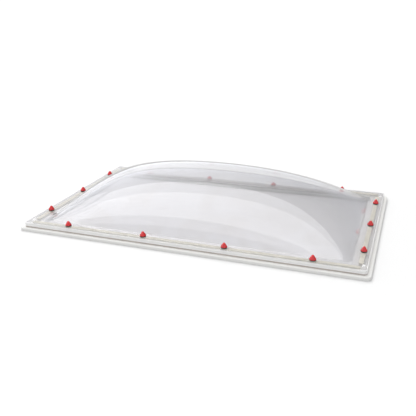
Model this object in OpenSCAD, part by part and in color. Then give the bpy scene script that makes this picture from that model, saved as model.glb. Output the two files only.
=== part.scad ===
// Fixed roof skylight: two clear plastic domes screwed down on a moulded base frame.
// Millimetres, +Z up, long side along X. The origin is the middle of the frame's underside.
// Distances called "inset" are measured inwards from the frame's outer edge, in plan.

/* [Overall size] */
// Length of the base frame, outside
frame_l = 1150; // [900:1:1600]
// Width of the base frame, outside
frame_w = 730; // [600:1:1100]

/* [Base frame] */
// Height of the outer ledge
ledge_h = 10; // [8:0.5:16]
// Height of the raised seat above the ledge
seat_step = 3; // [2:0.5:8]
// Thickness of the frame's walls and ribs
frame_wall = 3; // [2:0.25:4]
// Inset of the daylight opening
opening_inset = 55; // [50:1:60]
// Corner radius of the frame in plan
frame_corner_r = 16; // [10:1:30]
// Rounding of the frame's top outer edge
frame_edge_r = 3; // [1:0.5:5]
// Diameter of a screw boss under the seat
boss_d = 14; // [11:0.5:18]

/* [Outer dome] */
// Inset of the outer dome's rim
rim_inset = 12; // [8:0.5:16]
// Thickness of the outer skin
outer_t = 3; // [2:0.25:5]
// Rise of the outer dome above its rim
outer_rise = 150; // [110:1:200]
// Thickness of the foam seal between the rim's lip and the ledge
lip_seal_t = 4; // [1:0.25:5]
// Width of that seal
lip_seal_w = 3; // [2:0.25:3.5]
// How far the seal is set back from the lip's outer face
lip_seal_back = 0.8; // [0.3:0.1:1.5]
// Gap between the frame's raised seat and the lip
seat_gap = 1; // [0.5:0.25:2]
// Corner radius of the rim in plan
rim_corner_r = 12; // [8:1:24]
// Rounding of the rim's top outer edge
rim_edge_r = 4; // [1:0.5:5]

/* [Inner dome] */
// Thickness of the inner skin
inner_t = 3; // [2:0.25:5]
// Rise of the inner dome above its flange
inner_rise = 126; // [90:1:160]
// Gap between the inner flange's edge and the rim's lip
flange_gap = 4; // [2:0.5:6]
// Corner radius of the inner flange in plan
flange_corner_r = 8; // [5:1:16]

/* [Dome shape] */
// Inset of the line where both domes leave their flat rims
foot_inset = 61; // [58:1:90]
// Fullness of the domes, where a lower number is a squarer pillow
fullness = 0.73; // [0.6:0.01:1]
// Softness of the fillet at the foot, as a share of the rise
foot_soft = 0.07; // [0.03:0.01:0.12]

/* [Foam tapes] */
// Width of every tape
tape_w = 14; // [14:1:24]
// Thickness of the tapes between the two domes
upper_tape_t = 4; // [3:0.5:8]
// Thickness of the tapes under the inner dome
lower_tape_t = 2; // [1:0.5:5]
// Length left open between a side tape and the end tapes
vent_gap = 19; // [14:1:30]
// Length of a long tape past its last screw line
tape_end = 1; // [-2:0.5:4]
// Diameter of the clear spacers in the corner gaps
spacer_d = 10; // [6:0.5:11]
// Gap between a spacer and the inner flange's edge
spacer_edge_gap = 2; // [1:0.5:4]

/* [Fasteners] */
// Inset of the screw line
screw_inset = 35; // [33:0.5:37]
// Screws along each long side
screws_long = 4; // [3:1:6]
// Screws along each short side
screws_short = 3; // [2:1:4]
// Distance from a corner of the screw rectangle to the nearest long-side screw
end_long = 135; // [100:1:160]
// Distance from a corner of the screw rectangle to the nearest short-side screw
end_short = 110; // [80:1:130]
// Screw shank diameter
shank_d = 4.8; // [4:0.1:6]
// Depth of the screw's point above the frame's underside
screw_point_z = 2.5; // [1.5:0.5:5]
// Radial clearance of the screw in its boss
screw_clear = 0.05; // [0.03:0.01:0.1]
// Size of the screw head across its flats
head_af = 8; // [7:0.5:10]
// Height of the screw head, with its collar
head_h = 5; // [3:0.5:6]
// Outer diameter of the spacer bushes
bush_d = 8; // [7:0.5:9]
// Radial clearance of the bush in the domes and tapes
bush_clear = 1; // [0.5:0.25:1.5]
// Radial clearance of the screw in its bush
bore_clear = 0.2; // [0.1:0.05:0.5]
// Radial clearance of the screw in its washer
washer_clear = 0.1; // [0.05:0.05:0.3]
// Height of the pressed collar under the screw head
collar_h = 1; // [0.5:0.25:1.5]
// Outer diameter of the seal washers
washer_d = 20; // [17:0.5:22]
// Thickness of the seal washers
washer_t = 3; // [1.5:0.25:4]

/* [Screw caps] */
// Diameter of a cap at its foot
cap_d = 21; // [18:0.5:24]
// Height of a cap
cap_h = 14; // [12:0.5:20]
// Radius of the rounded tip
cap_tip_r = 4.5; // [3:0.5:6]
// Height of the straight skirt
cap_skirt_h = 1.5; // [0.5:0.5:3]
// Wall of a cap
cap_wall = 1.6; // [1:0.1:2.5]
// Radial clearance of the cap's grip ring round the screw head
grip_clear = 0.1; // [0.05:0.05:0.4]

/* [Hidden] */
$fn = 64;
EPS = 0.01;
SIDES = ["front", "back", "left", "right"];

// Levels, from the frame's underside upwards
seat_z = ledge_h + seat_step;
inner_z = seat_z + lower_tape_t;
upper_tape_z = inner_z + inner_t;
outer_z = upper_tape_z + upper_tape_t;
rim_z = outer_z + outer_t;
washer_z = rim_z + washer_t;

// Plan half sizes
screw_x = frame_l/2 - screw_inset;
screw_y = frame_w/2 - screw_inset;
foot_x = frame_l/2 - foot_inset;
foot_y = frame_w/2 - foot_inset;
lip_inset = rim_inset + outer_t;
flange_inset = lip_inset + flange_gap;
seat_inset = lip_inset + seat_gap;
lip_z = ledge_h + lip_seal_t;
// The tapes are centred on the screw line
tape_inset = screw_inset - tape_w/2;
tape_inner_y = frame_w/2 - tape_inset - tape_w;

// Pitch of the screws along each side
pitch_long = 2*(screw_x - end_long)/(screws_long - 1);
pitch_short = 2*(screw_y - end_short)/(screws_short - 1);
bush_hole_d = bush_d + 2*bush_clear;
// The frame's underside is hollow up to this level
channel_h = ledge_h - frame_wall;
// Flats of the hexagon head become this distance over its corners
head_corners = head_af/cos(30);

// Plan centres of the screws on one side, in a frame where that side runs along its own line
function side_points(side) =
    side == "front" ? [for (i = [0:screws_long - 1]) [along(i, screws_long, pitch_long), -screw_y]] :
    side == "back" ? [for (i = [0:screws_long - 1]) [along(i, screws_long, pitch_long), screw_y]] :
    side == "left" ? [for (i = [0:screws_short - 1]) [-screw_x, along(i, screws_short, pitch_short)]] :
    [for (i = [0:screws_short - 1]) [screw_x, along(i, screws_short, pitch_short)]];
function along(i, count, pitch) = (i - (count - 1)/2)*pitch;
all_points = [for (side = SIDES) each side_points(side)];

// Plan outline with rounded corners, at a given inset from the frame's edge
module outline(inset, r) {
    l = frame_l - 2*inset;
    w = frame_w - 2*inset;
    square([l - 2*r, w], center = true);
    square([l, w - 2*r], center = true);
    for (sx = [-1, 1])
        for (sy = [-1, 1])
            translate([sx*(l/2 - r), sy*(w/2 - r)])
                circle(r);
}

module slab(inset, r, z0, z1) {
    translate([0, 0, z0])
        linear_extrude(z1 - z0)
            outline(inset, r);
}

// What is cut off a square top edge to round it: a spandrel swept along the outline
module edge_cutter(inset, plan_r, edge_r, z) {
    l = frame_l - 2*inset;
    w = frame_w - 2*inset;
    for (side = [[0, w, l], [90, l, w], [180, w, l], [270, l, w]])
        rotate([0, 0, side[0]])
            translate([-side[2]/2 + plan_r, -side[1]/2, z])
                rotate([90, 0, 90])
                    linear_extrude(side[2] - 2*plan_r)
                        spandrel(edge_r);
    for (a = [0:3]) {
        sx = a == 0 || a == 3 ? 1 : -1;
        sy = a < 2 ? 1 : -1;
        translate([sx*(l/2 - plan_r), sy*(w/2 - plan_r), z])
            rotate([0, 0, 90*a])
                rotate_extrude(angle = 90)
                    translate([plan_r, 0])
                        mirror([1, 0])
                            spandrel(edge_r);
    }
}

// Square corner outside a quarter circle, which meets the lines x = 0 and y = 0
ROUND_STEPS = 8;
module spandrel(r) {
    arc = [for (i = [0:ROUND_STEPS]) let (a = 180 - 90*i/ROUND_STEPS) [r + r*cos(a), r*sin(a) - r]];
    polygon(concat([[-1, -r]], arc, [[r, 1], [-1, 1]]));
}

module holes(points, d, z0, z1) {
    for (p = points)
        translate([p[0], p[1], z0])
            cylinder(d = d, h = z1 - z0);
}

// Height of a blown sheet clamped along a rectangle: the pressure-loaded membrane as a
// Fourier series, scaled to 1 at the middle
function cosh(x) = (exp(x) + exp(-x))/2;
function swell_term(n, x, y) =
    (1 - cosh(n*PI*y/2/foot_x)/cosh(n*PI*foot_y/2/foot_x))*cos(n*90*x/foot_x)/pow(n, 3);
function swell_sum(x, y, k = 0) =
    k > 8 ? 0 : (k % 2 == 0 ? 1 : -1)*swell_term(2*k + 1, x, y) + swell_sum(x, y, k + 1);
swell_top = swell_sum(0, 0);
function swell(x, y) =
    abs(x) >= foot_x || abs(y) >= foot_y ? 0 : pow(max(0, swell_sum(x, y)/swell_top), fullness);
// The foot starts flat and turns up in a fillet
function blown(x, y) =
    (sqrt(pow(swell(x, y), 2) + pow(foot_soft, 2)) - foot_soft)/(sqrt(1 + pow(foot_soft, 2)) - foot_soft);

// Grid lines of a dome, closer together towards the foot, with one flat strip outside it
GRID_X = 36;
GRID_Y = 24;
SPREAD = 72;
SKIRT = 4;
function grid(half, count) = concat(
    [-half - SKIRT],
    [for (i = [0:count]) half*sin(SPREAD*(2*i/count - 1))/sin(SPREAD)],
    [half + SKIRT]);

// Blown skin of even vertical depth t, because a blown sheet thins as it slopes
module blown_skin(z, rise, t) {
    xs = grid(foot_x, GRID_X);
    ys = grid(foot_y, GRID_Y);
    nx = len(xs);
    ny = len(ys);
    top = [for (y = ys) for (x = xs) [x, y, z + t + rise*blown(x, y)]];
    under = [for (p = top) [p[0], p[1], p[2] - t]];
    n = nx*ny;
    // Corners of one grid square, counted along X first
    top_faces = [for (j = [0:ny - 2]) for (i = [0:nx - 2])
        let (a = j*nx + i, b = a + 1, c = a + nx, d = c + 1)
        each [[a, d, b], [a, c, d]]];
    under_faces = [for (f = top_faces) [f[2] + n, f[1] + n, f[0] + n]];
    front = [for (i = [0:nx - 2]) [i, i + 1, n + i + 1, n + i]];
    back = [for (i = [0:nx - 2]) let (s = (ny - 1)*nx + i) [s + 1, s, n + s, n + s + 1]];
    left = [for (j = [0:ny - 2]) let (s = j*nx) [s + nx, s, n + s, n + s + nx]];
    right = [for (j = [0:ny - 2]) let (s = j*nx + nx - 1) [s, s + nx, n + s + nx, n + s]];
    polyhedron(concat(top, under), concat(top_faces, under_faces, front, back, left, right));
}

// Moulded frame: a ledge and a raised seat, hollow below, with a boss and a rib at each screw
module base_frame() {
    color([0.86, 0.87, 0.85])
        difference() {
            union() {
                slab(0, frame_corner_r, 0, ledge_h);
                slab(seat_inset, rim_corner_r, ledge_h - EPS, seat_z);
            }
            slab(opening_inset, frame_corner_r, -1, seat_z + 1);
            edge_cutter(0, frame_corner_r, frame_edge_r, ledge_h);
            difference() {
                slab(frame_wall, frame_corner_r - frame_wall, -1, channel_h);
                slab(opening_inset - frame_wall, frame_corner_r, -2, channel_h + 1);
                holes(all_points, boss_d, -2, channel_h + 1);
                screw_ribs();
            }
            holes(all_points, shank_d + 2*screw_clear, screw_point_z - 0.5, seat_z + 1);
        }
}

// Ribs across the frame's channel, one through each boss
module screw_ribs() {
    span = opening_inset;
    for (side = SIDES)
        for (p = side_points(side)) {
            across = side == "front" || side == "back";
            size = across ? [frame_wall, span] : [span, frame_wall];
            x = across ? p[0] : sign(p[0])*(frame_l - span)/2;
            y = across ? sign(p[1])*(frame_w - span)/2 : p[1];
            translate([x - size[0]/2, y - size[1]/2, -2])
                cube([size[0], size[1], channel_h + 3]);
        }
}

// Foam seal under the lip, set back a little, which keeps driven rain off the seat
module lip_seal() {
    outer = rim_inset + lip_seal_back;
    color([0.3, 0.28, 0.25])
        difference() {
            slab(outer, rim_corner_r - lip_seal_back, ledge_h, lip_z);
            slab(outer + lip_seal_w, rim_corner_r - lip_seal_back - lip_seal_w, ledge_h - 1, lip_z + 1);
        }
}

// Clear outer skin: flat rim with a turned-down lip, blown up inside the foot line
module outer_dome() {
    color([0.85, 0.9, 0.95, 0.5])
        union() {
            difference() {
                slab(rim_inset, rim_corner_r, lip_z, rim_z);
                slab(lip_inset, rim_corner_r - outer_t, lip_z - 1, outer_z);
                slab(foot_inset, EPS, outer_z - 1, rim_z + 1);
                edge_cutter(rim_inset, rim_corner_r, rim_edge_r, rim_z);
                holes(all_points, bush_hole_d, outer_z - 1, rim_z + 1);
            }
            blown_skin(outer_z, outer_rise, outer_t);
        }
}

// Clear inner skin, lower than the outer one and lying flat on its own tapes
module inner_dome() {
    color([0.8, 0.86, 0.92, 0.5])
        union() {
            difference() {
                slab(flange_inset, flange_corner_r, inner_z, inner_z + inner_t);
                slab(foot_inset, EPS, inner_z - 1, inner_z + inner_t + 1);
                holes(all_points, bush_hole_d, inner_z - 1, inner_z + inner_t + 1);
            }
            blown_skin(inner_z, inner_rise, inner_t);
        }
}

// One foam strip, punched for the bushes. The end strips stop short of the long ones, so that
// the air between the domes can breathe at the corners
module tape(side, z, t) {
    long = side == "front" || side == "back";
    length = long ? 2*(screw_x + tape_end) : 2*(tape_inner_y - vent_gap);
    size = long ? [length, tape_w, t] : [tape_w, length, t];
    x = side == "left" ? -1 : side == "right" ? 1 : 0;
    y = side == "front" ? -1 : side == "back" ? 1 : 0;
    color([0.85, 0.82, 0.74])
        difference() {
            translate([x*screw_x - size[0]/2, y*screw_y - size[1]/2, z])
                cube(size);
            holes(side_points(side), bush_hole_d, z - 1, z + t + 1);
        }
}

// Clear discs that hold the two skins apart where the tapes leave a gap
module corner_spacers() {
    dx = frame_l/2 - flange_inset - spacer_d/2 - spacer_edge_gap;
    dy = tape_inner_y - vent_gap/2;
    color([0.9, 0.93, 0.95, 0.6])
        for (sx = [-1, 1])
            for (sy = [-1, 1])
                translate([sx*dx, sy*dy, upper_tape_z])
                    cylinder(d = spacer_d, h = upper_tape_t);
}

// Tubes that carry the screws' clamping force past the skins
module bushes(side) {
    color([0.78, 0.78, 0.76])
        for (p = side_points(side))
            translate([p[0], p[1], seat_z])
                difference() {
                    cylinder(d = bush_d, h = rim_z - seat_z);
                    translate([0, 0, -1])
                        cylinder(d = shank_d + 2*bore_clear, h = rim_z - seat_z + 2);
                }
}

// Rubber washers that close the oversize holes
module washers(side) {
    color([0.16, 0.16, 0.16])
        for (p = side_points(side))
            translate([p[0], p[1], rim_z])
                difference() {
                    cylinder(d = washer_d, h = washer_t);
                    translate([0, 0, -1])
                        cylinder(d = shank_d + 2*washer_clear, h = washer_t + 2);
                }
}

// Hexagon-head screws with a pressed collar and a short point
module screws(side) {
    point_h = shank_d/2;
    color([0.7, 0.7, 0.72])
        for (p = side_points(side))
            translate([p[0], p[1], 0]) {
                translate([0, 0, screw_point_z + point_h])
                    cylinder(d = shank_d, h = washer_z - screw_point_z - point_h + EPS);
                translate([0, 0, screw_point_z])
                    cylinder(d1 = 0.8, d2 = shank_d, h = point_h);
                translate([0, 0, washer_z])
                    cylinder(d = head_corners, h = collar_h);
                translate([0, 0, washer_z + collar_h - EPS])
                    cylinder(d = head_corners, h = head_h - collar_h, $fn = 6);
            }
}

// Section of a cap: a straight skirt, then a cone that runs tangent into a round tip
function tip_angle(r, h, tip) =
    let (reach = norm([r, h - tip]), lean = atan2(r, h - tip)) lean - asin(tip/reach);
function cap_section(r, skirt, h, tip) =
    let (a = tip_angle(r, h - skirt, tip))
    concat([[0, 0], [r, 0], [r, skirt]],
           [for (i = [0:8]) let (b = a + (90 - a)*i/8) [tip*cos(b), h - tip + tip*sin(b)]]);

// Push-on caps: a hollow bell with a ring inside that grips the screw head
module caps(side) {
    grip_r = head_corners/2 + grip_clear;
    bell = cap_section(cap_d/2, cap_skirt_h, cap_h, cap_tip_r);
    color([0.8, 0.05, 0.05])
        for (p = side_points(side))
            translate([p[0], p[1], washer_z])
                rotate_extrude() {
                    difference() {
                        polygon(bell);
                        translate([-EPS, -EPS])
                            polygon(cap_section(cap_d/2 - cap_wall, cap_skirt_h,
                                                cap_h - cap_wall, cap_tip_r - cap_wall));
                    }
                    intersection() {
                        polygon(bell);
                        translate([grip_r, 1])
                            square([cap_wall, cap_h]);
                    }
                }
}

base_frame();
inner_dome();
outer_dome();
corner_spacers();
lip_seal();
for (side = SIDES) {
    tape(side, seat_z, lower_tape_t);
    tape(side, upper_tape_z, upper_tape_t);
    bushes(side);
    washers(side);
    screws(side);
    caps(side);
}
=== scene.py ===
"""A fixed roof skylight: two clear blown domes, one inside the other, screwed down on a moulded
base frame. Metres, Z up, long side along X, with the origin in the middle of the underside."""

import math

import bmesh
import bpy
import numpy as np
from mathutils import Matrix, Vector


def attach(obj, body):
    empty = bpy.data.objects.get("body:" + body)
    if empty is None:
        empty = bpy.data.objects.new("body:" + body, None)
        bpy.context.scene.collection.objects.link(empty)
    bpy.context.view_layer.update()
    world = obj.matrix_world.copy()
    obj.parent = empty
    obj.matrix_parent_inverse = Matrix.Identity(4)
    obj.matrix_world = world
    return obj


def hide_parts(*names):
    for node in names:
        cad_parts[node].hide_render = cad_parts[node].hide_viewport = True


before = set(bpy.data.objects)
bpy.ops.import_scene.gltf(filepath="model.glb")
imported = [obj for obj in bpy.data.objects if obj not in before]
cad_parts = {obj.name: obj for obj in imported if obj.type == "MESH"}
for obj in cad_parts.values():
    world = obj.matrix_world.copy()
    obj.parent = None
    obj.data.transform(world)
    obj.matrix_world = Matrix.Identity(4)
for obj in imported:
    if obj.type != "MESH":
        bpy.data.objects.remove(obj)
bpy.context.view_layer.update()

# ---------------------------------------------------------------------------------------------
# Base frame
# One injection moulding in pale grey PVC, hollow below, with a boss and a rib under each screw.
# It stands on the roof's kerb, and its raised seat carries everything else.

MM = 0.001  # every size below is in millimetres, and is turned into metres as a mesh is made
FRAME_L, FRAME_W = 1150.0, 730.0


def new_material(name):
    """A material with an empty tree, and short ways to add and join its nodes."""
    material = bpy.data.materials.new(name)
    material.use_nodes = True
    tree = material.node_tree
    tree.nodes.clear()
    output = tree.nodes.new("ShaderNodeOutputMaterial")
    shader = tree.nodes.new("ShaderNodeBsdfPrincipled")
    tree.links.new(shader.outputs["BSDF"], output.inputs["Surface"])
    return material, tree, shader


def set_sockets(node, **values):
    """Sets inputs by name, with _ where the name has a space."""
    for socket, value in values.items():
        node.inputs[socket.replace("_", " ")].default_value = value


def feed(tree, socket, value):
    """Joins an input to another node's output, or sets it to a number or a colour."""
    if hasattr(value, "is_linked"):
        tree.links.new(value, socket)
    else:
        socket.default_value = value


def place_group(tree, group, **values):
    """A node that holds the group, with the group's inputs set."""
    node = tree.nodes.new("ShaderNodeGroup")
    node.node_tree = group
    set_sockets(node, **values)
    return node


def group_with(name, inputs, outputs):
    """A node group with its sockets and its two end nodes."""
    group = bpy.data.node_groups.new(name, "ShaderNodeTree")
    for label, kind, value in inputs:
        socket = group.interface.new_socket(name=label, in_out="INPUT", socket_type=kind)
        socket.default_value = value
    for label, kind in outputs:
        group.interface.new_socket(name=label, in_out="OUTPUT", socket_type=kind)
    return group, group.nodes.new("NodeGroupInput"), group.nodes.new("NodeGroupOutput")


def noise_in(tree, scale, detail, distortion=0.0):
    """Noise in object space, so that it has one scale in metres over every piece."""
    place = tree.nodes.new("ShaderNodeTexCoord")
    noise = tree.nodes.new("ShaderNodeTexNoise")
    set_sockets(noise, Detail=detail, Distortion=distortion)
    feed(tree, noise.inputs["Scale"], scale)
    tree.links.new(place.outputs["Object"], noise.inputs["Vector"])
    return noise.outputs["Fac"]


def ranged(tree, source, low, high, to_low, to_high):
    """Maps a value from one range to another."""
    node = tree.nodes.new("ShaderNodeMapRange")
    set_sockets(node, From_Min=low, From_Max=high, To_Min=to_low, To_Max=to_high)
    tree.links.new(source, node.inputs["Value"])
    return node.outputs["Result"]


def computed(tree, operation, *values):
    """A sum, product or the like of numbers and other nodes' outputs."""
    node = tree.nodes.new("ShaderNodeMath")
    node.operation = operation
    for socket, value in zip(node.inputs, values):
        feed(tree, socket, value)
    return node.outputs["Value"]


def mixed(tree, share, first, second, kind="RGBA", blend="MIX"):
    """The first value where share is 0, and the second where it is 1."""
    node = tree.nodes.new("ShaderNodeMix")
    node.data_type = kind
    node.blend_type = blend
    for label, value in (("Factor", share), ("A", first), ("B", second)):
        feed(tree, node.inputs[label], value)
    return node.outputs["Result"]


def add_relief(tree, shader, height, strength, depth):
    """Bumps on a surface. depth is in millimetres."""
    node = tree.nodes.new("ShaderNodeBump")
    set_sockets(node, Strength=strength, Distance=depth * MM)
    tree.links.new(height, node.inputs["Height"])
    tree.links.new(node.outputs["Normal"], shader.inputs["Normal"])


def moulded_grain_group():
    """Moulded plastic: a fine spark-eroded grain, slow flow marks and a little settled dust."""
    group, start, end = group_with(
        "moulded_grain",
        (
            ("Colour", "NodeSocketColor", (0.8, 0.8, 0.8, 1.0)),
            ("Dust Colour", "NodeSocketColor", (0.5, 0.48, 0.45, 1.0)),
            ("Dust", "NodeSocketFloat", 0.1),
            ("Grain Scale", "NodeSocketFloat", 1500.0),
            ("Roughness", "NodeSocketFloat", 0.4),
        ),
        (
            ("Colour", "NodeSocketColor"),
            ("Roughness", "NodeSocketFloat"),
            ("Height", "NodeSocketFloat"),
        ),
    )
    grain = noise_in(group, start.outputs["Grain Scale"], 2.0)
    flow = noise_in(group, 14.0, 3.0, 0.6)
    facing = group.nodes.new("ShaderNodeNewGeometry")
    split = group.nodes.new("ShaderNodeSeparateXYZ")
    group.links.new(facing.outputs["Normal"], split.inputs["Vector"])
    upward = ranged(group, split.outputs["Z"], 0.3, 1.0, 0.0, 1.0)
    patches = ranged(group, flow, 0.35, 0.75, 0.2, 1.0)
    settled = computed(group, "MULTIPLY", upward, patches)
    share = computed(group, "MULTIPLY", settled, start.outputs["Dust"])
    colour = mixed(group, share, start.outputs["Colour"], start.outputs["Dust Colour"])
    worn = ranged(group, flow, 0.3, 0.7, 0.85, 1.2)
    roughness = computed(group, "MULTIPLY", worn, start.outputs["Roughness"])
    for label, value in (("Colour", colour), ("Roughness", roughness), ("Height", grain)):
        group.links.new(value, end.inputs[label])
    return group


MOULDED_GRAIN = moulded_grain_group()


def moulded_plastic(
    name, colour, dust_colour, dust, roughness, grain_scale, bump, **shader_values
):
    """A plastic with the moulded grain. shader_values are set on the shader itself."""
    material, tree, shader = new_material(name)
    grain = place_group(
        tree, MOULDED_GRAIN, Colour=colour, Dust_Colour=dust_colour, Dust=dust,
        Grain_Scale=grain_scale, Roughness=roughness,
    )
    add_relief(tree, shader, grain.outputs["Height"], bump, 0.2)
    tree.links.new(grain.outputs["Colour"], shader.inputs["Base Color"])
    tree.links.new(grain.outputs["Roughness"], shader.inputs["Roughness"])
    set_sockets(shader, **shader_values)
    return material


def dress(piece, material):
    """Gives a piece this one material."""
    piece.data.materials.clear()
    piece.data.materials.append(material)


pale_pvc = moulded_plastic(
    "pale_grey_pvc", (0.66, 0.66, 0.645, 1), (0.46, 0.44, 0.40, 1), 0.2, 0.36, 900.0, 0.25,
    IOR=1.53,
)
dress(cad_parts["base_frame"], pale_pvc)

# ---------------------------------------------------------------------------------------------
# Lip seal
# A narrow ring of brown open-cell foam, glued to the frame's ledge just inside the lip's outer
# face. It keeps driven rain and insects out, and the lip slides on it as the dome grows warm. Its
# dark brown is partly the foam's own colour and partly painted shade of the narrow gap between the
# lip and the ledge.

LEDGE_Z, SEAL_T, SEAL_W, SEAL_INSET = 10.0, 4.0, 3.0, 12.8
SEAL_TOP, SEAL_MIDDLE = LEDGE_Z + SEAL_T, LEDGE_Z + SEAL_T / 2
SEAL_CORNER_R, SEAL_BULGE = 11.2, 0.25


def rounded_outline(inset, radius, steps=8):
    """A rectangle with round corners, as points in plan, in order. inset is measured inwards
    from the frame's outside."""
    half_l, half_w = FRAME_L / 2 - inset - radius, FRAME_W / 2 - inset - radius
    points = []
    for quarter, (sx, sy) in enumerate(((1, -1), (1, 1), (-1, 1), (-1, -1))):
        for k in range(steps + 1):
            turn = math.radians(-90 + 90 * quarter + 90 * k / steps)
            x, y = radius * math.cos(turn), radius * math.sin(turn)
            points.append((sx * half_l + x, sy * half_w + y))
    return points


def add_object(name, data):
    """An object for a mesh, a lamp or the camera, in the scene."""
    thing = bpy.data.objects.new(name, data)
    bpy.context.scene.collection.objects.link(thing)
    return thing


def finish_normals(mesh, crease=math.radians(35)):
    """Faces all look outwards, and edges sharper than the crease stay sharp."""
    shape = bmesh.new()
    shape.from_mesh(mesh)
    bmesh.ops.recalc_face_normals(shape, faces=shape.faces)
    for face in shape.faces:
        face.smooth = True
    for edge in shape.edges:
        edge.smooth = len(edge.link_faces) == 2 and edge.calc_face_angle(0.0) < crease
    shape.to_mesh(mesh)
    shape.free()


def swept_ring(name, section):
    """A closed ring. section is a loop of (inset, corner radius, height)."""
    loops = [[(x, y, z) for x, y in rounded_outline(inset, radius)] for inset, radius, z in section]
    count = len(loops[0])
    points = [(x * MM, y * MM, z * MM) for loop in loops for x, y, z in loop]
    faces = []
    for a in range(len(loops)):
        b = (a + 1) % len(loops)
        for k in range(count):
            n = (k + 1) % count
            faces.append((a * count + k, a * count + n, b * count + n, b * count + k))
    mesh = bpy.data.meshes.new(name)
    mesh.from_pydata(points, [], faces)
    finish_normals(mesh)
    return add_object(name, mesh)


def shaded(tree, source, dark_at, dark, pale_at, pale):
    """A ramp between two colours."""
    node = tree.nodes.new("ShaderNodeValToRGB")
    stops = node.color_ramp.elements
    stops[0].position, stops[1].position = dark_at, pale_at
    stops[0].color, stops[1].color = dark, pale
    tree.links.new(source, node.inputs["Fac"])
    return node.outputs["Color"]


def foam_material(name, hollow_shade, dark, pale, scale):
    """Foam with cells 1000 / scale mm across, cut open on the surface, with slow changes of tone
    between dark and pale. The first colour is painted shade in the hollows of the cut cells."""
    material, tree, shader = new_material(name)
    place = tree.nodes.new("ShaderNodeTexCoord")
    cells = tree.nodes.new("ShaderNodeTexVoronoi")
    set_sockets(cells, Scale=scale, Randomness=1.0)
    tree.links.new(place.outputs["Object"], cells.inputs["Vector"])
    tone = shaded(tree, noise_in(tree, 25.0, 3.0), 0.35, dark, 0.7, pale)
    skin = ranged(tree, cells.outputs["Distance"], 0.0, 0.6, 0.55, 1.0)
    # The cells' hollows get a painted shade, and the foam between them keeps its own tone
    tree.links.new(mixed(tree, skin, hollow_shade, tone), shader.inputs["Base Color"])
    add_relief(tree, shader, cells.outputs["Distance"], 0.6, 0.3)
    set_sockets(shader, Roughness=0.85, Specular_IOR_Level=0.3)
    return material


def seal_section():
    """The strip's section, with both upright sides bulging."""
    outer = (SEAL_INSET, SEAL_CORNER_R)
    inner = (SEAL_INSET + SEAL_W, SEAL_CORNER_R - SEAL_W)
    outer_edge = (outer[0] + SEAL_BULGE, outer[1] - SEAL_BULGE)
    inner_edge = (inner[0] - SEAL_BULGE, inner[1] + SEAL_BULGE)
    return [
        (*outer_edge, LEDGE_Z), (*outer, SEAL_MIDDLE), (*outer_edge, SEAL_TOP),
        (*inner_edge, SEAL_TOP), (*inner, SEAL_MIDDLE), (*inner_edge, LEDGE_Z),
    ]


lip_seal = swept_ring("lip_seal_foam", seal_section())
# Dark brown: partly the foam's own colour, partly painted shade of the gap under the lip
brown_foam_and_gap_shade = foam_material(
    "brown_pu_foam_and_gap_shade", (0.26, 0.22, 0.20, 1), (0.44, 0.39, 0.365, 1), (0.54, 0.49, 0.46, 1), 1800.0
)
dress(lip_seal, brown_foam_and_gap_shade)
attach(lip_seal, "root")
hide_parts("lip_seal")

# ---------------------------------------------------------------------------------------------
# Foam tapes
# Closed-cell polyethylene foam in 14 mm strips, cream coloured, punched for the spacer tubes.
# A thin strip lies under the inner dome and a thicker one between the domes, on all four sides.

SEAT_Z, LOWER_TAPE_T = 13.0, 2.0
UPPER_TAPE_Z, UPPER_TAPE_T = 18.0, 4.0
TAPE_W, TAPE_INSET, TAPE_END, VENT_GAP = 14.0, 28.0, 1.0, 19.0
TAPE_ROUND, TAPE_GRID = 1.0, 12.0
TUBE_HOLE_R = 5.0
HOLE_CELL = 5.5  # half the width of the grid cell that a hole is cut in
SCREW_INSET, LONG_PITCH, SHORT_PITCH = 35.0, 270.0, 220.0
SCREW_X, SCREW_Y = FRAME_L / 2 - SCREW_INSET, FRAME_W / 2 - SCREW_INSET
LONG_ROW = [LONG_PITCH * (k - 1.5) for k in range(4)]
SHORT_ROW = [SHORT_PITCH * (k - 1.0) for k in range(3)]
SCREWS = {
    "front": [(x, -SCREW_Y) for x in LONG_ROW],
    "back": [(x, SCREW_Y) for x in LONG_ROW],
    "left": [(-SCREW_X, y) for y in SHORT_ROW],
    "right": [(SCREW_X, y) for y in SHORT_ROW],
}


def filled_lines(marks, step_at):
    """Grid lines through every mark, with more between them no further apart than step_at says.
    A mark is (place, whole), and where whole is true the gap before it stays one cell."""
    marks = sorted(marks)
    lines = [marks[0][0]]
    for (a, _), (b, whole) in zip(marks, marks[1:]):
        count = 1 if whole else max(1, math.ceil((b - a) / step_at((a + b) / 2)))
        lines += [a + (b - a) * k / count for k in range(1, count + 1)]
    return np.array(lines)


def marks_for(low, high, centres, extra=()):
    """Marks at both ends, at extra lines, and on both sides of each hole."""
    plain = [(low, False), (high, False)] + [(e, False) for e in extra]
    return plain + [m for c in centres for m in ((c - HOLE_CELL, False), (c + HOLE_CELL, True))]


def punch(points, faces, cell, centre, below):
    """A round hole through one grid cell of a sheet. cell is its four points on the top, and
    each has its twin on the underside, below places further on in points."""
    steps = 10  # edges round a quarter of the hole
    rings = []
    for level in (0, below):
        rings.append(len(points))
        z = points[cell[0] + level][2]
        for k in range(4 * steps):
            turn = math.radians(225.0) + k * math.pi / (2 * steps)
            x, y = TUBE_HOLE_R * math.cos(turn), TUBE_HOLE_R * math.sin(turn)
            points.append((centre[0] + x, centre[1] + y, z))
    for q in range(4):
        arc = [(q * steps + k) % (4 * steps) for k in range(steps + 1)]
        pair = (cell[q], cell[(q + 1) % 4])
        faces.append(pair + tuple(rings[0] + k for k in reversed(arc)))
        faces.append((pair[1] + below, pair[0] + below) + tuple(rings[1] + k for k in arc))
    for k in range(4 * steps):
        n = (k + 1) % (4 * steps)
        faces.append((rings[0] + k, rings[0] + n, rings[1] + n, rings[1] + k))


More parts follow.
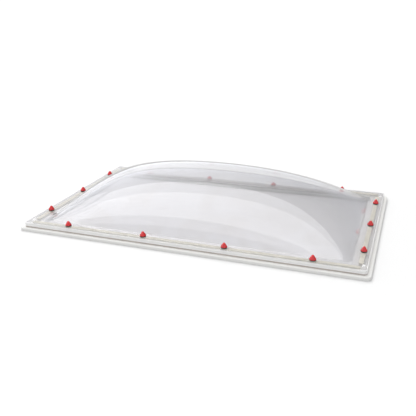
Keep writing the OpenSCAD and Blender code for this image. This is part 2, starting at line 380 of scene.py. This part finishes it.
def way_round(nx, ny):
    """The way round a grid from the front left, as (grid point, direction outwards). A corner's
    point comes many times, while the direction turns."""
    sides = (
        list(range(nx)),
        [j * nx + nx - 1 for j in range(ny)],
        [(ny - 1) * nx + i for i in reversed(range(nx))],
        [j * nx for j in reversed(range(ny))],
    )
    arc_steps = 10  # faces round a corner
    way = []
    for k, side in enumerate(sides):
        outwards = -math.pi / 2 + k * math.pi / 2
        way += [(point, outwards) for point in side]
        turns = [outwards + n * math.pi / 2 / arc_steps for n in range(1, arc_steps)]
        way += [(side[-1], turn) for turn in turns]
    return way


def holed_sheet(name, xs, ys, top, under, holes, rim):
    """A closed sheet over a grid in plan: a top and an underside with punched holes, joined all
    round by a rim. rim is a list of (reach, height), where reach is measured outwards from the
    grid's edge, square to the sides and round the corners. All in millimetres."""
    nx, ny = len(xs), len(ys)
    below = nx * ny
    gx, gy = np.meshgrid(xs, ys)
    points = []
    for surface in (top, under):
        points += zip(gx.ravel(), gy.ravel(), surface(gx, gy).ravel())
    cells = {}
    for hx, hy in holes:
        cells[int(np.searchsorted(xs, hx)) - 1, int(np.searchsorted(ys, hy)) - 1] = (hx, hy)
    faces = []
    for j in range(ny - 1):
        for i in range(nx - 1):
            if (i, j) not in cells:
                a = j * nx + i
                faces.append((a, a + 1, a + nx + 1, a + nx))
                faces.append(tuple(p + below for p in (a, a + nx, a + nx + 1, a + 1)))
    for (i, j), centre in cells.items():
        a = j * nx + i
        punch(points, faces, (a, a + 1, a + nx + 1, a + nx), centre, below)
    way = way_round(nx, ny)
    rings = []
    for reach, height in rim:
        rings.append(len(points))
        for point, turn in way:
            x, y, _ = points[point]
            points.append((x + reach * math.cos(turn), y + reach * math.sin(turn), height))
    for k in range(len(way)):
        n = (k + 1) % len(way)
        a, b = way[k][0], way[n][0]
        for level, ring, flip in ((0, rings[0], False), (below, rings[-1], True)):
            face = [a + level, ring + k, ring + n] + ([b + level] if a != b else [])
            faces.append(tuple(reversed(face)) if flip else tuple(face))
        for lower, upper in zip(rings[1:], rings):
            faces.append((upper + k, lower + k, lower + n, upper + n))
    mesh = bpy.data.meshes.new(name)
    mesh.from_pydata([(x * MM, y * MM, z * MM) for x, y, z in points], [], faces)
    mesh.validate()
    finish_normals(mesh)
    return add_object(name, mesh)


def foam_strip(name, side, z, thick):
    """One strip with soft long edges, where the foam bulges a little between what clamps it."""
    mid_x = FRAME_L / 2 - TAPE_INSET - TAPE_W / 2
    mid_y = FRAME_W / 2 - TAPE_INSET - TAPE_W / 2
    if side in ("front", "back"):
        half = (SCREW_X + TAPE_END, TAPE_W / 2)
        centre = (0.0, -mid_y if side == "front" else mid_y)
    else:
        half = (TAPE_W / 2, mid_y - TAPE_W / 2 - VENT_GAP)
        centre = (-mid_x if side == "left" else mid_x, 0.0)
    spans = [(c - h + TAPE_ROUND, c + h - TAPE_ROUND) for c, h in zip(centre, half)]
    holes = SCREWS[side]
    xs = filled_lines(marks_for(*spans[0], sorted({p[0] for p in holes})), lambda at: TAPE_GRID)
    ys = filled_lines(marks_for(*spans[1], sorted({p[1] for p in holes})), lambda at: TAPE_GRID)
    bulge = ((0.45, 1.0), (0.85, 0.9), (1.0, 0.5), (0.85, 0.1), (0.45, 0.0))
    rim = [(TAPE_ROUND * reach, z + thick * up) for reach, up in bulge]

    def level(height):
        return lambda x, y: np.full_like(x, height)

    piece = holed_sheet(name, xs, ys, level(z + thick), level(z), holes, rim)
    dress(piece, cream_foam)
    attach(piece, "root")
    return piece


cream_foam = foam_material(
    "cream_pe_foam", (0.47, 0.45, 0.375, 1), (0.57, 0.55, 0.475, 1), (0.66, 0.635, 0.56, 1), 1400.0
)
for side in SCREWS:
    strip = foam_strip("foam_lower_" + side, side, SEAT_Z, LOWER_TAPE_T)
    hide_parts("lower_tape_" + side)
    strip = foam_strip("foam_upper_" + side, side, UPPER_TAPE_Z, UPPER_TAPE_T)
    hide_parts("upper_tape_" + side)

# ---------------------------------------------------------------------------------------------
# Inner dome
# Clear acrylic sheet, heated, clamped along a rectangle and blown up like a bubble, then trimmed
# to a flat flange. It lies on the lower tapes, and its sawn edge stays inside the outer lip.

INNER_Z, INNER_T, INNER_RISE = 15.0, 3.0, 126.0
FLANGE_REACH, FLANGE_EASE = 8.0, 0.4
INNER_ANCHOR = 27.0  # inset of the grid's edge, from which the flange's edge reaches outwards
FOOT_INSET = 61.0
FOOT_X, FOOT_Y = FRAME_L / 2 - FOOT_INSET, FRAME_W / 2 - FOOT_INSET
FULLNESS, FOOT_SOFT = 0.73, 0.07
SERIES_TERMS = 9


def blown(x, y):
    """Height of the blown sheet, from 0 at the foot to 1 in the middle: the membrane under even
    pressure as a Fourier series, made fuller by a power and turned up from the foot in a fillet."""

    def swell(x, y):
        total = np.zeros_like(x)
        for k in range(SERIES_TERMS):
            n = 2 * k + 1
            reach = n * math.pi / (2 * FOOT_X)
            fall = np.exp(reach * (np.abs(y) - FOOT_Y)) * (1 + np.exp(-2 * reach * np.abs(y)))
            fall /= 1 + math.exp(-2 * reach * FOOT_Y)
            total += (-1) ** k * (1 - fall) * np.cos(reach * x) / n**3
        return total

    inside = (np.abs(x) < FOOT_X) & (np.abs(y) < FOOT_Y)
    middle = swell(np.zeros(1), np.zeros(1))[0]
    clipped = [np.clip(a, -b, b) for a, b in ((x, FOOT_X), (y, FOOT_Y))]
    raised = np.maximum(swell(*clipped) / middle, 0.0) ** FULLNESS
    low = math.hypot(1.0, FOOT_SOFT) - FOOT_SOFT
    return np.where(inside, (np.sqrt(raised**2 + FOOT_SOFT**2) - FOOT_SOFT) / low, 0.0)


def dome_lines(half, foot, centres, side_centre):
    """Grid lines of a dome: under 2 mm apart at its foot, widening to 7 mm in the middle."""
    holes = list(centres) + [-side_centre, side_centre]
    at_foot, flat, middle, widening = foot * 0.004, 10.0, 7.0, 0.05

    def step(at):
        return flat if abs(at) > foot else min(middle, at_foot + (foot - abs(at)) * widening)

    return filled_lines(marks_for(-half, half, holes, (-foot, foot)), step)


def blown_dome(name, z, thick, rise, anchor, rim):
    """A skin with its blown middle, holed flat edge and rim. anchor is the inset of its grid."""
    half = (FRAME_L / 2 - anchor, FRAME_W / 2 - anchor)
    xs = dome_lines(half[0], FOOT_X, LONG_ROW, SCREW_X)
    ys = dome_lines(half[1], FOOT_Y, SHORT_ROW, SCREW_Y)
    holes = [p for side in SCREWS.values() for p in side]

    def top(x, y):
        return z + thick + rise * blown(x, y)

    def under(x, y):
        return z + rise * blown(x, y)

    return holed_sheet(name, xs, ys, top, under, holes, rim)


def sheet_waviness_group():
    """Blown sheet isn't optically flat: long soft waves bend its reflections, and a thin film of
    dust and wiping marks tints it here and there."""
    group, start, end = group_with(
        "blown_sheet_waves",
        (("Wave Scale", "NodeSocketFloat", 6.0), ("Tint", "NodeSocketColor", (1, 1, 1, 1))),
        (("Height", "NodeSocketFloat"), ("Tint", "NodeSocketColor")),
    )
    waves = noise_in(group, start.outputs["Wave Scale"], 0.0)
    film = ranged(group, noise_in(group, 9.0, 5.0, 1.2), 0.45, 0.8, 0.0, 0.6)
    dust = (0.965, 0.955, 0.94, 1)
    tint = mixed(group, film, start.outputs["Tint"], dust, blend="MULTIPLY")
    group.links.new(waves, end.inputs["Height"])
    group.links.new(tint, end.inputs["Tint"])
    return group


SHEET_WAVES = sheet_waviness_group()


def clear_acrylic(name, tint, wave_scale, wave, haze=0.0, roughness=0.0):
    """Clear acrylic. Light from the lamps and from lit surfaces goes straight through it, so that
    what is inside the dome is lit as in a real one."""
    material, tree, shader = new_material(name)
    waves = place_group(tree, SHEET_WAVES, Wave_Scale=wave_scale, Tint=tint)
    add_relief(tree, shader, waves.outputs["Height"], wave, 1.0)
    tree.links.new(waves.outputs["Tint"], shader.inputs["Base Color"])
    set_sockets(shader, Roughness=roughness, IOR=1.49, Transmission_Weight=1.0 - haze)
    path = tree.nodes.new("ShaderNodeLightPath")
    clear = tree.nodes.new("ShaderNodeBsdfTransparent")
    loss = 0.96
    clear.inputs["Color"].default_value = tuple(loss * c for c in tint[:3]) + (1,)
    last = shader.outputs["BSDF"]
    for ray in ("Is Diffuse Ray", "Is Shadow Ray"):
        mix = tree.nodes.new("ShaderNodeMixShader")
        tree.links.new(path.outputs[ray], mix.inputs["Fac"])
        tree.links.new(last, mix.inputs[1])
        tree.links.new(clear.outputs["BSDF"], mix.inputs[2])
        last = mix.outputs["Shader"]
    tree.links.new(last, tree.nodes["Material Output"].inputs["Surface"])
    return material


flange_top, flange_inner = INNER_Z + INNER_T, FLANGE_REACH - FLANGE_EASE
inner_flange = [
    (flange_inner, flange_top), (FLANGE_REACH, flange_top - FLANGE_EASE),
    (FLANGE_REACH, INNER_Z + FLANGE_EASE), (flange_inner, INNER_Z),
]
inner_skin = blown_dome(
    "inner_dome_skin", INNER_Z, INNER_T, INNER_RISE, INNER_ANCHOR, inner_flange
)
# The blown middle's grey tint is painted shade: it darkens the light through the dome and what is
# seen through it
dress(inner_skin, clear_acrylic("blown_acrylic_inner_painted_shade", (0.955, 0.953, 0.958, 1), 5.0, 0.05))
# Only the middle is stretched. The flange stays flat in its clamp, a little hazier. It is paler
# because it carries less of the painted shade that greys the blown middle
flat_inner = clear_acrylic(
    "flat_acrylic_inner", (0.98, 0.975, 0.975, 1), 5.0, 0.05, haze=0.045, roughness=0.05
)
inner_skin.data.materials.append(flat_inner)
for polygon in inner_skin.data.polygons:
    x, y = (abs(c) / MM for c in polygon.center[:2])
    if x > FOOT_X or y > FOOT_Y:
        polygon.material_index = 1
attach(inner_skin, "root")
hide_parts("inner_dome")

# ---------------------------------------------------------------------------------------------
# Corner spacers
# Small clear discs that keep the two skins apart where the upper tapes leave a gap to breathe.
# Cast in clear silicone, tacky, and held only by the clamping of the two skins.


def turned(name, centres, z, profile, steps=48):
    """Pieces of revolution, one at each centre. profile is a closed loop of (radius, height)."""
    shape = bmesh.new()
    for x, y in centres:
        rings = []
        for radius, height in profile:
            if radius == 0.0:
                rings.append([shape.verts.new((x * MM, y * MM, (z + height) * MM))] * steps)
                continue
            rings.append([
                shape.verts.new((
                    (x + radius * math.cos(2 * math.pi * k / steps)) * MM,
                    (y + radius * math.sin(2 * math.pi * k / steps)) * MM,
                    (z + height) * MM,
                ))
                for k in range(steps)
            ])
        for a, b in zip(rings, rings[1:] + rings[:1]):
            if a[0] is a[1] and b[0] is b[1]:
                continue
            for k in range(steps):
                n = (k + 1) % steps
                corners = [a[k], a[n], b[n], b[k]]
                shape.faces.new([c for m, c in enumerate(corners) if c is not corners[m - 1]])
    mesh = bpy.data.meshes.new(name)
    shape.to_mesh(mesh)
    shape.free()
    finish_normals(mesh)
    return add_object(name, mesh)


SPACER_R, SPACER_EASE, SPACER_SIDE = 5.0, 0.4, 0.5
SPACER_X, SPACER_Y = FRAME_L / 2 - 26.0, FRAME_W / 2 - 51.5
spacer_centres = [(sx * SPACER_X, sy * SPACER_Y) for sx in (-1, 1) for sy in (-1, 1)]
spacer_profile = [
    (0.0, 0.0), (SPACER_R - SPACER_EASE, 0.0), (SPACER_R, SPACER_SIDE),
    (SPACER_R, UPPER_TAPE_T - SPACER_SIDE), (SPACER_R - SPACER_EASE, UPPER_TAPE_T),
    (0.0, UPPER_TAPE_T),
]
spacers = turned("clear_spacers", spacer_centres, UPPER_TAPE_Z, spacer_profile)
silicone = clear_acrylic(
    "clear_silicone", (0.97, 0.98, 0.98, 1), 60.0, 0.2, haze=0.4, roughness=0.2
)
dress(spacers, silicone)
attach(spacers, "root")
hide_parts("corner_spacers")

# ---------------------------------------------------------------------------------------------
# Outer dome
# Clear acrylic of the same thickness, blown in the same clamp, higher than the inner dome. Its
# rim is folded down all round into a lip that sheds rain over the frame's ledge.

OUTER_Z, OUTER_T, OUTER_RISE = 22.0, 3.0, 150.0
RIM_Z, LIP_Z = OUTER_Z + OUTER_T, 14.0
OUTER_ANCHOR = 24.0  # inset of the grid's edge, from which the lip reaches outwards
LIP_REACH, EDGE_R, EASE = 12.0, 4.0, 0.5


def folded_lip():
    """Section of the rim from the flat top, round the fold, down the lip and back up inside."""
    fold = [math.radians(a) for a in range(0, 91, 15)]
    section = [
        (LIP_REACH - EDGE_R + EDGE_R * math.sin(a), RIM_Z - EDGE_R + EDGE_R * math.cos(a))
        for a in fold
    ]
    inside = LIP_REACH - OUTER_T
    section += [
        (LIP_REACH, LIP_Z + EASE), (LIP_REACH - EASE * 0.3, LIP_Z + EASE * 0.3),
        (LIP_REACH - EASE, LIP_Z), (inside + EASE, LIP_Z), (inside, LIP_Z + EASE),
        (inside, OUTER_Z),
    ]
    return section


outer_skin = blown_dome(
    "outer_dome_skin", OUTER_Z, OUTER_T, OUTER_RISE, OUTER_ANCHOR, folded_lip()
)
# The blown middle's grey tint is painted shade: it darkens the light through the dome and what is
# seen through it
dress(outer_skin, clear_acrylic("blown_acrylic_outer_painted_shade", (0.955, 0.953, 0.958, 1), 4.0, 0.05))

# The flat rim lies in the clamp while the rest is blown, and takes a slight haze from it. Its paler
# tint is the same acrylic with less of the painted shade that greys the blown middle. The sheet
# whitens where it is folded hot, so the lip is hazier still
flat_outer = clear_acrylic(
    "flat_acrylic_outer", (0.98, 0.975, 0.975, 1), 6.0, 0.05, haze=0.045, roughness=0.05
)
folded = clear_acrylic("folded_acrylic", (0.87, 0.87, 0.87, 1), 12.0, 0.2, haze=0.55, roughness=0.3)
outer_skin.data.materials.append(flat_outer)
outer_skin.data.materials.append(folded)
for polygon in outer_skin.data.polygons:
    x, y = (abs(c) / MM for c in polygon.center[:2])
    past_x, past_y = x - FRAME_L / 2 + OUTER_ANCHOR, y - FRAME_W / 2 + OUTER_ANCHOR
    past = math.hypot(max(past_x, 0.0), max(past_y, 0.0))
    if past > LIP_REACH - EDGE_R:
        polygon.material_index = 2
    elif x > FOOT_X or y > FOOT_Y:
        polygon.material_index = 1
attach(outer_skin, "root")
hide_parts("outer_dome")

# ---------------------------------------------------------------------------------------------
# Spacer tubes
# Short tubes of white polyamide in the oversize holes. The screws clamp on them, so that the
# skins are free to grow and shrink with the heat.

TUBE_R, TUBE_BORE_R, TUBE_EASE = 4.0, 2.6, 0.3
TUBE_H = RIM_Z - SEAT_Z
tube_profile = [
    (TUBE_BORE_R, 0.0), (TUBE_R - TUBE_EASE, 0.0), (TUBE_R, TUBE_EASE),
    (TUBE_R, TUBE_H - TUBE_EASE), (TUBE_R - TUBE_EASE, TUBE_H), (TUBE_BORE_R, TUBE_H),
]
white_tube_plastic = moulded_plastic(
    "white_polyamide", (0.74, 0.73, 0.69, 1), (0.5, 0.47, 0.42, 1), 0.1, 0.5, 1200.0, 0.2, IOR=1.53
)
for side, points in SCREWS.items():
    tubes = turned("spacer_tubes_" + side, points, SEAT_Z, tube_profile)
    dress(tubes, white_tube_plastic)
    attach(tubes, "root")
    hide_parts("bushes_" + side)

# ---------------------------------------------------------------------------------------------
# Seal washers
# EPDM rubber rings that close the oversize holes. The screws squeeze them, so that their edges
# bulge a little.

WASHER_R, WASHER_T, WASHER_BORE_R = 10.0, 3.0, 2.5
WASHER_FLAT_R, WASHER_BULGE_R, WASHER_BULGE_Z = WASHER_R - 0.5, WASHER_R - 0.1, 0.4
washer_profile = [
    (WASHER_BORE_R, 0.0), (WASHER_FLAT_R, 0.0), (WASHER_BULGE_R, WASHER_BULGE_Z),
    (WASHER_R, WASHER_T / 2), (WASHER_BULGE_R, WASHER_T - WASHER_BULGE_Z),
    (WASHER_FLAT_R, WASHER_T), (WASHER_BORE_R, WASHER_T),
]
epdm = moulded_plastic(
    "epdm_rubber", (0.03, 0.029, 0.028, 1), (0.2, 0.19, 0.17, 1), 0.2, 0.6, 2200.0, 0.5,
    Specular_IOR_Level=0.35,
)
for side, points in SCREWS.items():
    rings = turned("seal_washers_" + side, points, RIM_Z, washer_profile)
    dress(rings, epdm)
    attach(rings, "root")
    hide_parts("washers_" + side)

# ---------------------------------------------------------------------------------------------
# Screws
# Zinc-plated hexagon-head screws that bite into the frame's bosses. Their heads are under the
# caps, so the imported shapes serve, with their edges eased.


def zinc_plate():
    """Bright zinc over steel, with the faint blue and yellow clouds of its passivation."""
    material, tree, shader = new_material("zinc_plated_steel")
    clouds = noise_in(tree, 180.0, 3.0, 0.8)
    colour = shaded(tree, clouds, 0.3, (0.56, 0.60, 0.66, 1), 0.75, (0.72, 0.70, 0.62, 1))
    tree.links.new(colour, shader.inputs["Base Color"])
    tree.links.new(ranged(tree, clouds, 0.3, 0.7, 0.24, 0.42), shader.inputs["Roughness"])
    set_sockets(shader, Metallic=1.0)
    return material


zinc = zinc_plate()
for side in SCREWS:
    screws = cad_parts["screws_" + side]
    dress(screws, zinc)
    ease = screws.modifiers.new("eased_edges", "BEVEL")
    ease.width = 0.2 * MM
    ease.segments = 2
    ease.limit_method = "ANGLE"

# ---------------------------------------------------------------------------------------------
# Screw caps
# Glossy red polyethylene bells pushed over the screw heads, where a ring inside grips the head.
# Each has a straight skirt, a cone and a round tip. The wall is thin enough to let some light
# through, so that the screw head shows as a dark core.

CAP_R, CAP_H, CAP_TIP_R, CAP_SKIRT_H, CAP_WALL = 10.5, 14.0, 4.5, 1.5, 1.6
CAP_Z = RIM_Z + WASHER_T


def bell_side(radius, skirt, height, tip, steps):
    """Outline of a bell from its skirt up to its tip: the cone is tangent to the round tip."""
    reach = math.hypot(radius, height - skirt - tip)
    lean = math.atan2(radius, height - skirt - tip) - math.asin(tip / reach)
    turns = [lean + (math.pi / 2 - lean) * k / steps for k in range(steps + 1)]
    arc = [(tip * math.cos(t), height - tip + tip * math.sin(t)) for t in turns]
    arc[-1] = (0.0, height)
    return [(radius, skirt)] + arc


def cap_profile():
    """The bell's section: the foot, the outside up to the tip, and the inside back down."""
    outside = bell_side(CAP_R, CAP_SKIRT_H, CAP_H, CAP_TIP_R, 10)
    inside = bell_side(CAP_R - CAP_WALL, CAP_SKIRT_H, CAP_H - CAP_WALL, CAP_TIP_R - CAP_WALL, 6)
    foot = [(CAP_R - CAP_WALL, 0.0), (CAP_R - 0.3, 0.0), (CAP_R, 0.3)]
    shoulder = [(CAP_R, CAP_SKIRT_H - 0.4), (CAP_R - 0.15, CAP_SKIRT_H + 0.3)]
    return foot + shoulder + outside[1:] + list(reversed(inside))


red_gloss = moulded_plastic(
    "red_gloss_polyethylene", (0.78, 0.02, 0.024, 1), (0.6, 0.3, 0.27, 1), 0.05, 0.2, 700.0, 0.05,
    IOR=1.51, Transmission_Weight=0.4, Coat_Weight=0.3, Coat_Roughness=0.08,
)
for side, points in SCREWS.items():
    caps = turned("screw_caps_" + side, points, CAP_Z, cap_profile())
    dress(caps, red_gloss)
    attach(caps, "root")
    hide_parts("caps_" + side)
    caps.visible_glossy = False

# ---------------------------------------------------------------------------------------------
# Studio
# A white floor under a wide softbox, with a second softbox at the left, a light from behind and
# a pale room, all soft. The clear skins mirror the room, and grey cloth below the horizon.


def plain_floor():
    """A round white board, greyer in the middle, where the softboxes are brightest."""
    radius, corners, drop, grey_inside = 1.9, 96, 0.0004, 0.75
    mesh = bpy.data.meshes.new("studio_floor")
    turns = np.linspace(0, 2 * math.pi, corners + 1)[:-1]
    rim = [(radius * math.cos(a), radius * math.sin(a), -drop) for a in turns]
    mesh.from_pydata(rim, [], [tuple(range(corners))])
    floor = add_object("studio_floor", mesh)
    material, tree, shader = new_material("white_floor_board")
    place = tree.nodes.new("ShaderNodeTexCoord")
    away = tree.nodes.new("ShaderNodeVectorMath")
    away.operation = "LENGTH"
    tree.links.new(place.outputs["Object"], away.inputs[0])
    outside = ranged(tree, away.outputs["Value"], grey_inside, radius, 0.0, 1.0)
    colour = shaded(tree, outside, 0.0, (0.69, 0.69, 0.69, 1), 1.0, (0.90, 0.90, 0.90, 1))
    tree.links.new(colour, shader.inputs["Base Color"])
    set_sockets(shader, Roughness=0.9, Specular_IOR_Level=0.1)
    dress(floor, material)
    floor.visible_glossy = False
    return floor


plain_floor()


def aim(thing, towards):
    """Turns a lamp or the camera to look along a direction."""
    thing.rotation_euler = Vector(towards).to_track_quat("-Z", "Y").to_euler()


def softbox(name, at, towards, size, radiance, colour):
    """An area lamp with an even face. radiance is how bright the face itself looks."""
    lamp = bpy.data.lights.new(name, "AREA")
    lamp.shape = "RECTANGLE"
    lamp.size, lamp.size_y = size
    lamp.energy = radiance * math.pi * size[0] * size[1]
    lamp.color = colour
    box = add_object(name, lamp)
    box.location = at
    aim(box, towards)


OVERHEAD_H, OVERHEAD_Y = 2.0, 0.12
softbox(
    "overhead_softbox", (-0.5, OVERHEAD_Y, 0.12 + OVERHEAD_H), (0, 0, -1),
    (3.6, 1.12 * OVERHEAD_H), 1.12, (1, 1, 1),
)
softbox("left_softbox", (-2.6, 0.1, 1.1), (1, 0, -0.2), (2.6, 1.9), 0.80, (0.98, 0.98, 1.0))

# Light from behind and a little from the left, for the soft shadow along the front and right.
# The skins neither mirror it nor show it through them
lamp = bpy.data.lights.new("back_light", "SUN")
lamp.energy = 1.9
lamp.angle = math.radians(35)
back_light = add_object("back_light", lamp)
aim(back_light, (0.35, -0.9, -0.75))
back_light.visible_glossy = False
back_light.visible_transmission = False


def pale_room():
    """What lies round the set. X, Y and Z are the direction looked in: right, back and up."""
    world = bpy.data.worlds.new("pale_room")
    world.use_nodes = True
    tree = world.node_tree
    tree.nodes.clear()
    output = tree.nodes.new("ShaderNodeOutputWorld")
    light = tree.nodes.new("ShaderNodeBackground")
    path = tree.nodes.new("ShaderNodeLightPath")
    place = tree.nodes.new("ShaderNodeTexCoord")
    split = tree.nodes.new("ShaderNodeSeparateXYZ")
    tree.links.new(place.outputs["Generated"], split.inputs["Vector"])
    x, y, z = (split.outputs[axis] for axis in "XYZ")

    # Pale grey walls, lighter at the left and in front than at the right and the back
    wall_grey, cool_white = 0.31, (0.975, 0.99, 1.045)
    left = ranged(tree, x, -0.55, 0.0, 0.64, 0.0)
    front = ranged(tree, y, -0.45, 0.15, 0.65, 0.0)
    walls = computed(tree, "ADD", computed(tree, "MAXIMUM", left, front), wall_grey)

    # A window's glow low down on the back wall, fading to the right
    low = ranged(tree, z, 0.0, 0.4, 1.0, 0.0)
    behind = ranged(tree, y, 0.3, 0.8, 0.0, 1.0)
    glow = ranged(tree, x, -0.05, 0.2, 0.55, 0.14)
    window = computed(tree, "MULTIPLY", low, behind)
    tinted = tree.nodes.new("ShaderNodeVectorMath")
    tinted.operation = "SCALE"
    tinted.inputs[0].default_value = cool_white
    walls = computed(tree, "MULTIPLY_ADD", window, glow, walls)
    tree.links.new(walls, tinted.inputs["Scale"])

    # Below the horizon the room goes on as white as the floor, but the skins mirror grey cloth
    floor_white = 1.1
    cloth = ranged(tree, y, -0.2, 0.5, 0.92, 0.55)
    below = mixed(tree, path.outputs["Is Glossy Ray"], floor_white, cloth, kind="FLOAT")
    above_horizon = computed(tree, "GREATER_THAN", z, 0.0)
    seen = mixed(tree, above_horizon, below, tinted.outputs["Vector"])

    # What lights the floor and the frame is plainer: white cards in front, greyer ones behind
    cards = ranged(tree, y, -0.4, 0.4, 1.0, 0.50)
    room = mixed(tree, path.outputs["Is Diffuse Ray"], seen, cards)
    tree.links.new(room, light.inputs["Color"])
    tree.links.new(light.outputs["Background"], output.inputs["Surface"])
    bpy.context.scene.world = world


pale_room()

# The camera stands 2.2 m away at the front right and looks 20 degrees down
CAMERA_AT = (0.6353, -1.9313, 0.7812)
CAMERA_TOWARDS = (-0.305058, 0.885517, -0.350426)
SENSOR, FOCAL_LENGTH = 36.0, 52.244
lens = bpy.data.cameras.new("camera")
lens.sensor_width, lens.lens = SENSOR, FOCAL_LENGTH
camera = add_object("camera", lens)
camera.location = CAMERA_AT
aim(camera, CAMERA_TOWARDS)
bpy.context.scene.camera = camera
bpy.context.scene.view_settings.view_transform = "Standard"

# Light turns many times inside the folded lip, so its paths may be long
MOST_BOUNCES = 32
for kind in ("max", "glossy", "transmission", "transparent_max"):
    setattr(bpy.context.scene.cycles, kind + "_bounces", MOST_BOUNCES)
